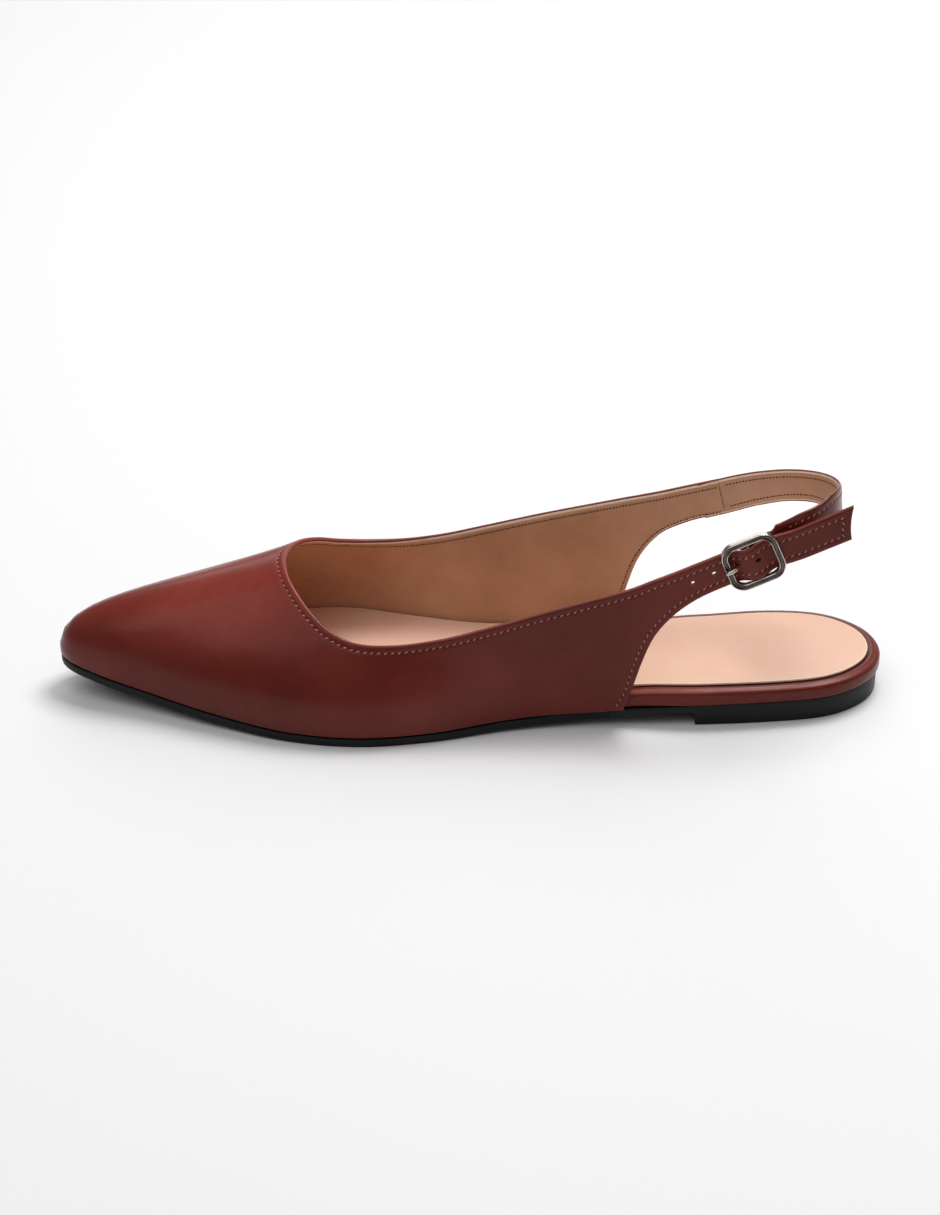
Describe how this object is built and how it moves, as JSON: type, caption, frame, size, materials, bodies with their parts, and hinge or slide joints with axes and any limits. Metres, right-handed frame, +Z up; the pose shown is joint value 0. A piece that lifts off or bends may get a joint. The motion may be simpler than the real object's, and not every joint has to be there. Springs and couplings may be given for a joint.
{
  "type": "slingback flat shoe",
  "caption": "Pointed slingback flat in smooth brown leather with a low black heel, open heel and quarters, and a buckled heel strap.",
  "frame": {"origin": "middle of the shoe's length and width, on the floor that it stands on", "axes": "+X from heel to toe, +Y to the outer side of the foot, which is the wearer's left, +Z up from the floor"},
  "size_m": [0.2568, 0.0798, 0.0733],
  "materials": {
    "sole_rubber": "satin black moulded rubber",
    "upper_leather": "smooth brown leather with a low gloss",
    "insole_leather": "matt peach lining leather",
    "buckle_metal": "polished gunmetal plating"
  },
  "bodies": {
    "root": {"outsole": "sole_rubber", "footbed": "upper_leather", "insole": "insole_leather", "upper": "upper_leather", "sling_strap": "upper_leather", "buckle_frame": "buckle_metal", "buckle_prong": "buckle_metal"}
  },
  "joints": []
}
